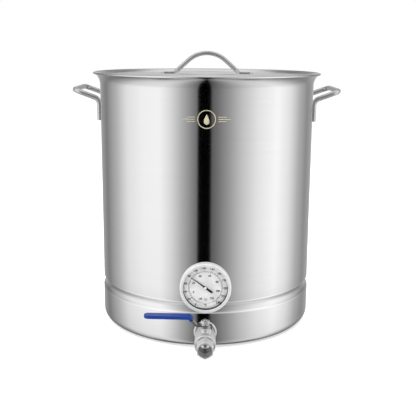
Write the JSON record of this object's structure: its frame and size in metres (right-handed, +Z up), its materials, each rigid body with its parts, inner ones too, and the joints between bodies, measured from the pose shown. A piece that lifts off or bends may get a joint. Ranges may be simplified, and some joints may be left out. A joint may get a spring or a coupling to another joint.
{
  "type": "brew kettle",
  "caption": "Tall stainless brew kettle with a flared rim, lift-off lid, tube handles, dial thermometer, perforated false bottom and a lever ball valve.",
  "frame": {"origin": "centre of the base, on the surface the kettle stands on", "axes": "+Z up the pot's axis, -Y out of the valve and the dial, +X to the right seen from the front"},
  "size_m": [0.4282, 0.4377, 0.446],
  "materials": {
    "brushed_body": "satin, fine circumferential brushing",
    "brushed_lid": "satin, fine concentric brushing",
    "perforated_steel": "satin perforated sheet",
    "handle_steel": "satin tube",
    "machined_steel": "turned, semi-bright",
    "cast_steel": "investment cast, blasted",
    "polished_steel": "polished",
    "lever_steel": "pressed strip",
    "bezel_steel": "bright satin",
    "silicone": "matte",
    "white_seal": "PTFE, waxy",
    "blue_vinyl": "dipped vinyl",
    "bimetal": "rolled strip",
    "dial_white": "white enamel with black print",
    "black_rubber": "matte",
    "clear_glass": "clear",
    "pointer_black": "matt black"
  },
  "bodies": {
    "kettle": {"pot_shell": "brushed_body", "left_handle": "handle_steel", "right_handle": "handle_steel", "valve_outer_gasket": "silicone", "valve_bulkhead": "cast_steel", "valve_inner_gasket": "silicone", "valve_inner_washer": "machined_steel", "valve_lock_nut": "machined_steel", "valve_body": "cast_steel", "valve_body_seal": "white_seal", "valve_end_cap": "cast_steel", "inner_ball_seat": "white_seal", "outer_ball_seat": "white_seal", "stem_thrust_washer": "white_seal", "stem_packing": "white_seal", "gland_nut": "machined_steel", "thermometer_outer_gasket": "silicone", "thermometer_fitting": "machined_steel", "thermometer_inner_gasket": "silicone", "thermometer_inner_washer": "machined_steel", "thermometer_lock_nut": "machined_steel", "probe_tube": "machined_steel", "bimetal_coil": "bimetal", "thermometer_case": "bezel_steel", "dial_plate": "dial_white", "lens_gasket": "black_rubber", "dial_lens": "clear_glass", "bezel": "bezel_steel"},
    "lid_assembly": {"lid": "brushed_lid", "lid_handle": "handle_steel"},
    "sieve": {"false_bottom": "perforated_steel"},
    "valve_lever": {"lever": "lever_steel", "lever_sleeve": "blue_vinyl", "lever_washer": "machined_steel", "lever_nut": "machined_steel", "valve_stem": "machined_steel", "ball": "polished_steel"},
    "needle": {"pointer": "pointer_black", "pointer_hub": "polished_steel", "pointer_spindle": "machined_steel"}
  },
  "joints": [
    {"name": "lid_lift", "type": "slide", "parent": "kettle", "child": "lid_assembly", "axis": [0, 0, 1], "range_m": [0, 0.2]},
    {"name": "sieve_lift", "type": "slide", "parent": "kettle", "child": "sieve", "axis": [0, 0, 1], "range_m": [0, 0.013]},
    {"name": "valve_turn", "type": "hinge", "parent": "kettle", "child": "valve_lever", "pos_m": [0, -0.2146, 0.028], "axis": [0, 0, 1], "range_deg": [0, 90]},
    {"name": "needle_turn", "type": "hinge", "parent": "kettle", "child": "needle", "pos_m": [0, -0.2, 0.1074], "axis": [0, 1, 0], "range_deg": [-97.2, 206.5]}
  ]
}
